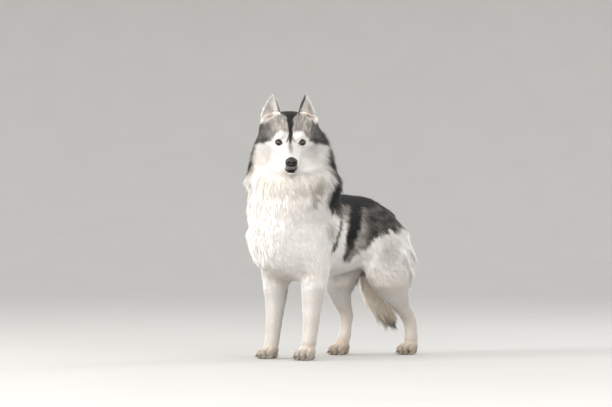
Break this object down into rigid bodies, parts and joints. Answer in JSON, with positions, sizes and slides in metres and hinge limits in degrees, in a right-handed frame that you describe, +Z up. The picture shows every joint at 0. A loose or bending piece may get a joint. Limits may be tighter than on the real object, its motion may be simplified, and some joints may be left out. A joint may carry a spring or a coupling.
{
  "type": "siberian husky",
  "caption": "Life-size still model of a standing Siberian husky in winter coat, head turned to its left and tail hanging, resting on its paws.",
  "frame": {"origin": "middle of the model's box, on the floor between the paws", "axes": "+Z up, -Y the way the breast points, +X the dog's left side"},
  "size_m": [0.3197, 0.7864, 0.8744],
  "materials": {
    "white_coat": "long soft white fur",
    "grey_coat": "long soft fur, grey with black tips",
    "cream_coat": "long soft cream fur with dark tips",
    "nose_leather": "moist, finely pebbled",
    "eye": "clear wet gloss over a brown iris",
    "claw": "worn horn"
  },
  "bodies": {
    "root": {"head": "white_coat", "muzzle": "white_coat", "lower_jaw": "white_coat", "neck": "white_coat", "chest": "white_coat", "abdomen": "grey_coat", "rump": "grey_coat", "tail": "cream_coat", "nose": "nose_leather", "ear_left": "grey_coat", "eye_left": "eye", "shoulder_left": "white_coat", "forearm_left": "white_coat", "forepaw_left": "white_coat", "thigh_left": "white_coat", "shank_left": "white_coat", "hind_pastern_left": "white_coat", "hindpaw_left": "white_coat", "claw_fore_left_1": "claw", "claw_fore_left_2": "claw", "claw_fore_left_3": "claw", "claw_fore_left_4": "claw", "claw_hind_left_1": "claw", "claw_hind_left_2": "claw", "claw_hind_left_3": "claw", "claw_hind_left_4": "claw", "ear_right": "grey_coat", "eye_right": "eye", "shoulder_right": "white_coat", "forearm_right": "white_coat", "forepaw_right": "white_coat", "thigh_right": "white_coat", "shank_right": "white_coat", "hind_pastern_right": "white_coat", "hindpaw_right": "white_coat", "claw_fore_right_1": "claw", "claw_fore_right_2": "claw", "claw_fore_right_3": "claw", "claw_fore_right_4": "claw", "claw_hind_right_1": "claw", "claw_hind_right_2": "claw", "claw_hind_right_3": "claw", "claw_hind_right_4": "claw"}
  },
  "joints": []
}
